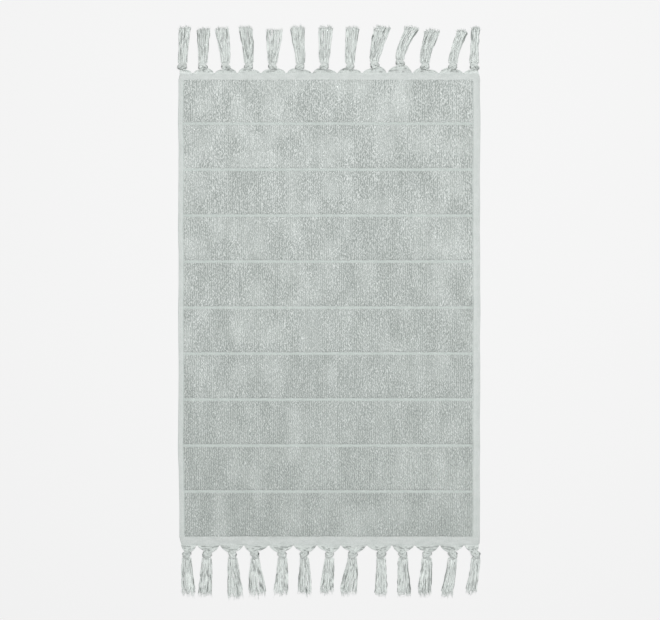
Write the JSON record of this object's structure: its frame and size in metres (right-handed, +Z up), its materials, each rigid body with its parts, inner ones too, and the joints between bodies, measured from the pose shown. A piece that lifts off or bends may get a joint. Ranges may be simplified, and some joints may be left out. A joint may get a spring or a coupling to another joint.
{
  "type": "bath mat",
  "caption": "Rectangular cotton terry bath mat with bands of pile between flat-woven lines, hemmed long sides and knotted tassels along both ends.",
  "frame": {"origin": "on the floor under the centre of the mat's whole outline, fringes included; the underside is at Z = 0", "axes": "+Y along the mat's length towards the head end, +X across its width, +Z up out of the pile"},
  "size_m": [0.502, 0.941, 0.012],
  "materials": {
    "terry_pile": "looped cotton terry, sage grey-green, matt",
    "ground_weave": "flat cotton plain weave, pale sage, matt",
    "border_weave": "fine ribbed cotton weave, pale sage, matt",
    "tassel_yarn": "twisted cotton yarn, pale sage, matt with frayed tips",
    "sewing_thread": "twisted sewing thread, pale sage, slight sheen"
  },
  "bodies": {
    "band_01": {"ground_cloth_01": "ground_weave", "terry_band_01": "terry_pile", "hem_stitching_01": "sewing_thread", "head_border": "border_weave", "head_knots": "tassel_yarn"},
    "band_02": {"ground_cloth_02": "ground_weave", "terry_band_02": "terry_pile", "hem_stitching_02": "sewing_thread"},
    "band_03": {"ground_cloth_03": "ground_weave", "terry_band_03": "terry_pile", "hem_stitching_03": "sewing_thread"},
    "band_04": {"ground_cloth_04": "ground_weave", "terry_band_04": "terry_pile", "hem_stitching_04": "sewing_thread"},
    "band_05": {"ground_cloth_05": "ground_weave", "terry_band_05": "terry_pile", "hem_stitching_05": "sewing_thread"},
    "band_06": {"ground_cloth_06": "ground_weave", "terry_band_06": "terry_pile", "hem_stitching_06": "sewing_thread"},
    "band_07": {"ground_cloth_07": "ground_weave", "terry_band_07": "terry_pile", "hem_stitching_07": "sewing_thread"},
    "band_08": {"ground_cloth_08": "ground_weave", "terry_band_08": "terry_pile", "hem_stitching_08": "sewing_thread"},
    "band_09": {"ground_cloth_09": "ground_weave", "terry_band_09": "terry_pile", "hem_stitching_09": "sewing_thread"},
    "band_10": {"ground_cloth_10": "ground_weave", "terry_band_10": "terry_pile", "hem_stitching_10": "sewing_thread", "foot_border": "border_weave", "foot_knots": "tassel_yarn"},
    "head_tassel_01": {"head_tassel_01": "tassel_yarn"},
    "head_tassel_02": {"head_tassel_02": "tassel_yarn"},
    "head_tassel_03": {"head_tassel_03": "tassel_yarn"},
    "head_tassel_04": {"head_tassel_04": "tassel_yarn"},
    "head_tassel_05": {"head_tassel_05": "tassel_yarn"},
    "head_tassel_06": {"head_tassel_06": "tassel_yarn"},
    "head_tassel_07": {"head_tassel_07": "tassel_yarn"},
    "head_tassel_08": {"head_tassel_08": "tassel_yarn"},
    "head_tassel_09": {"head_tassel_09": "tassel_yarn"},
    "head_tassel_10": {"head_tassel_10": "tassel_yarn"},
    "head_tassel_11": {"head_tassel_11": "tassel_yarn"},
    "head_tassel_12": {"head_tassel_12": "tassel_yarn"},
    "head_tassel_13": {"head_tassel_13": "tassel_yarn"},
    "foot_tassel_01": {"foot_tassel_01": "tassel_yarn"},
    "foot_tassel_02": {"foot_tassel_02": "tassel_yarn"},
    "foot_tassel_03": {"foot_tassel_03": "tassel_yarn"},
    "foot_tassel_04": {"foot_tassel_04": "tassel_yarn"},
    "foot_tassel_05": {"foot_tassel_05": "tassel_yarn"},
    "foot_tassel_06": {"foot_tassel_06": "tassel_yarn"},
    "foot_tassel_07": {"foot_tassel_07": "tassel_yarn"},
    "foot_tassel_08": {"foot_tassel_08": "tassel_yarn"},
    "foot_tassel_09": {"foot_tassel_09": "tassel_yarn"},
    "foot_tassel_10": {"foot_tassel_10": "tassel_yarn"},
    "foot_tassel_11": {"foot_tassel_11": "tassel_yarn"},
    "foot_tassel_12": {"foot_tassel_12": "tassel_yarn"},
    "foot_tassel_13": {"foot_tassel_13": "tassel_yarn"}
  },
  "joints": [
    {"name": "fold_line_1", "type": "hinge", "parent": "band_02", "child": "band_01", "pos_m": [0, 0.3103, 0.00075], "axis": [1, 0, 0], "range_deg": [0, 30]},
    {"name": "fold_line_2", "type": "hinge", "parent": "band_03", "child": "band_02", "pos_m": [0, 0.2341, 0.00075], "axis": [1, 0, 0], "range_deg": [0, 30]},
    {"name": "fold_line_3", "type": "hinge", "parent": "band_04", "child": "band_03", "pos_m": [0, 0.1579, 0.00075], "axis": [1, 0, 0], "range_deg": [0, 30]},
    {"name": "fold_line_4", "type": "hinge", "parent": "band_05", "child": "band_04", "pos_m": [0, 0.0817, 0.00075], "axis": [1, 0, 0], "range_deg": [0, 30]},
    {"name": "fold_line_5", "type": "hinge", "parent": "band_05", "child": "band_06", "pos_m": [0, 0.0055, 0.00075], "axis": [-1, 0, 0], "range_deg": [0, 30]},
    {"name": "fold_line_6", "type": "hinge", "parent": "band_06", "child": "band_07", "pos_m": [0, -0.0707, 0.00075], "axis": [-1, 0, 0], "range_deg": [0, 30]},
    {"name": "fold_line_7", "type": "hinge", "parent": "band_07", "child": "band_08", "pos_m": [0, -0.1469, 0.00075], "axis": [-1, 0, 0], "range_deg": [0, 30]},
    {"name": "fold_line_8", "type": "hinge", "parent": "band_08", "child": "band_09", "pos_m": [0, -0.2231, 0.00075], "axis": [-1, 0, 0], "range_deg": [0, 30]},
    {"name": "fold_line_9", "type": "hinge", "parent": "band_09", "child": "band_10", "pos_m": [0, -0.2993, 0.00075], "axis": [-1, 0, 0], "range_deg": [0, 30]},
    {"name": "head_tassel_01_lift", "type": "hinge", "parent": "band_01", "child": "head_tassel_01", "pos_m": [-0.243, 0.4158, 0.004], "axis": [1, 0, 0], "range_deg": [0, 90]},
    {"name": "head_tassel_02_lift", "type": "hinge", "parent": "band_01", "child": "head_tassel_02", "pos_m": [-0.20967, 0.4158, 0.004], "axis": [1, 0, 0], "range_deg": [0, 90]},
    {"name": "head_tassel_03_lift", "type": "hinge", "parent": "band_01", "child": "head_tassel_03", "pos_m": [-0.17133, 0.4158, 0.004], "axis": [1, 0, 0], "range_deg": [0, 90]},
    {"name": "head_tassel_04_lift", "type": "hinge", "parent": "band_01", "child": "head_tassel_04", "pos_m": [-0.133, 0.4158, 0.004], "axis": [1, 0, 0], "range_deg": [0, 90]},
    {"name": "head_tassel_05_lift", "type": "hinge", "parent": "band_01", "child": "head_tassel_05", "pos_m": [-0.09367, 0.4158, 0.004], "axis": [1, 0, 0], "range_deg": [0, 90]},
    {"name": "head_tassel_06_lift", "type": "hinge", "parent": "band_01", "child": "head_tassel_06", "pos_m": [-0.04833, 0.4158, 0.004], "axis": [1, 0, 0], "range_deg": [0, 90]},
    {"name": "head_tassel_07_lift", "type": "hinge", "parent": "band_01", "child": "head_tassel_07", "pos_m": [-0.008, 0.4158, 0.004], "axis": [1, 0, 0], "range_deg": [0, 90]},
    {"name": "head_tassel_08_lift", "type": "hinge", "parent": "band_01", "child": "head_tassel_08", "pos_m": [0.03433, 0.4158, 0.004], "axis": [1, 0, 0], "range_deg": [0, 90]},
    {"name": "head_tassel_09_lift", "type": "hinge", "parent": "band_01", "child": "head_tassel_09", "pos_m": [0.07467, 0.4178, 0.004], "axis": [1, 0, 0], "range_deg": [0, 90]},
    {"name": "head_tassel_10_lift", "type": "hinge", "parent": "band_01", "child": "head_tassel_10", "pos_m": [0.117, 0.4218, 0.004], "axis": [1, 0, 0], "range_deg": [0, 90]},
    {"name": "head_tassel_11_lift", "type": "hinge", "parent": "band_01", "child": "head_tassel_11", "pos_m": [0.15833, 0.4158, 0.004], "axis": [1, 0, 0], "range_deg": [0, 90]},
    {"name": "head_tassel_12_lift", "type": "hinge", "parent": "band_01", "child": "head_tassel_12", "pos_m": [0.20467, 0.4158, 0.004], "axis": [1, 0, 0], "range_deg": [0, 90]},
    {"name": "head_tassel_13_lift", "type": "hinge", "parent": "band_01", "child": "head_tassel_13", "pos_m": [0.24, 0.4158, 0.004], "axis": [1, 0, 0], "range_deg": [0, 90]},
    {"name": "foot_tassel_01_lift", "type": "hinge", "parent": "band_10", "child": "foot_tassel_01", "pos_m": [-0.236, -0.4138, 0.004], "axis": [-1, 0, 0], "range_deg": [0, 90]},
    {"name": "foot_tassel_02_lift", "type": "hinge", "parent": "band_10", "child": "foot_tassel_02", "pos_m": [-0.20267, -0.4138, 0.004], "axis": [-1, 0, 0], "range_deg": [0, 90]},
    {"name": "foot_tassel_03_lift", "type": "hinge", "parent": "band_10", "child": "foot_tassel_03", "pos_m": [-0.16033, -0.4138, 0.004], "axis": [-1, 0, 0], "range_deg": [0, 90]},
    {"name": "foot_tassel_04_lift", "type": "hinge", "parent": "band_10", "child": "foot_tassel_04", "pos_m": [-0.123, -0.4138, 0.004], "axis": [-1, 0, 0], "range_deg": [0, 90]},
    {"name": "foot_tassel_05_lift", "type": "hinge", "parent": "band_10", "child": "foot_tassel_05", "pos_m": [-0.07767, -0.4138, 0.004], "axis": [-1, 0, 0], "range_deg": [0, 90]},
    {"name": "foot_tassel_06_lift", "type": "hinge", "parent": "band_10", "child": "foot_tassel_06", "pos_m": [-0.04133, -0.4138, 0.004], "axis": [-1, 0, 0], "range_deg": [0, 90]},
    {"name": "foot_tassel_07_lift", "type": "hinge", "parent": "band_10", "child": "foot_tassel_07", "pos_m": [0, -0.4138, 0.004], "axis": [-1, 0, 0], "range_deg": [0, 90]},
    {"name": "foot_tassel_08_lift", "type": "hinge", "parent": "band_10", "child": "foot_tassel_08", "pos_m": [0.03833, -0.4138, 0.004], "axis": [-1, 0, 0], "range_deg": [0, 90]},
    {"name": "foot_tassel_09_lift", "type": "hinge", "parent": "band_10", "child": "foot_tassel_09", "pos_m": [0.08567, -0.4138, 0.004], "axis": [-1, 0, 0], "range_deg": [0, 90]},
    {"name": "foot_tassel_10_lift", "type": "hinge", "parent": "band_10", "child": "foot_tassel_10", "pos_m": [0.122, -0.4138, 0.004], "axis": [-1, 0, 0], "range_deg": [0, 90]},
    {"name": "foot_tassel_11_lift", "type": "hinge", "parent": "band_10", "child": "foot_tassel_11", "pos_m": [0.16133, -0.4138, 0.004], "axis": [-1, 0, 0], "range_deg": [0, 90]},
    {"name": "foot_tassel_12_lift", "type": "hinge", "parent": "band_10", "child": "foot_tassel_12", "pos_m": [0.20467, -0.4138, 0.004], "axis": [-1, 0, 0], "range_deg": [0, 90]},
    {"name": "foot_tassel_13_lift", "type": "hinge", "parent": "band_10", "child": "foot_tassel_13", "pos_m": [0.242, -0.4138, 0.004], "axis": [-1, 0, 0], "range_deg": [0, 90]}
  ]
}
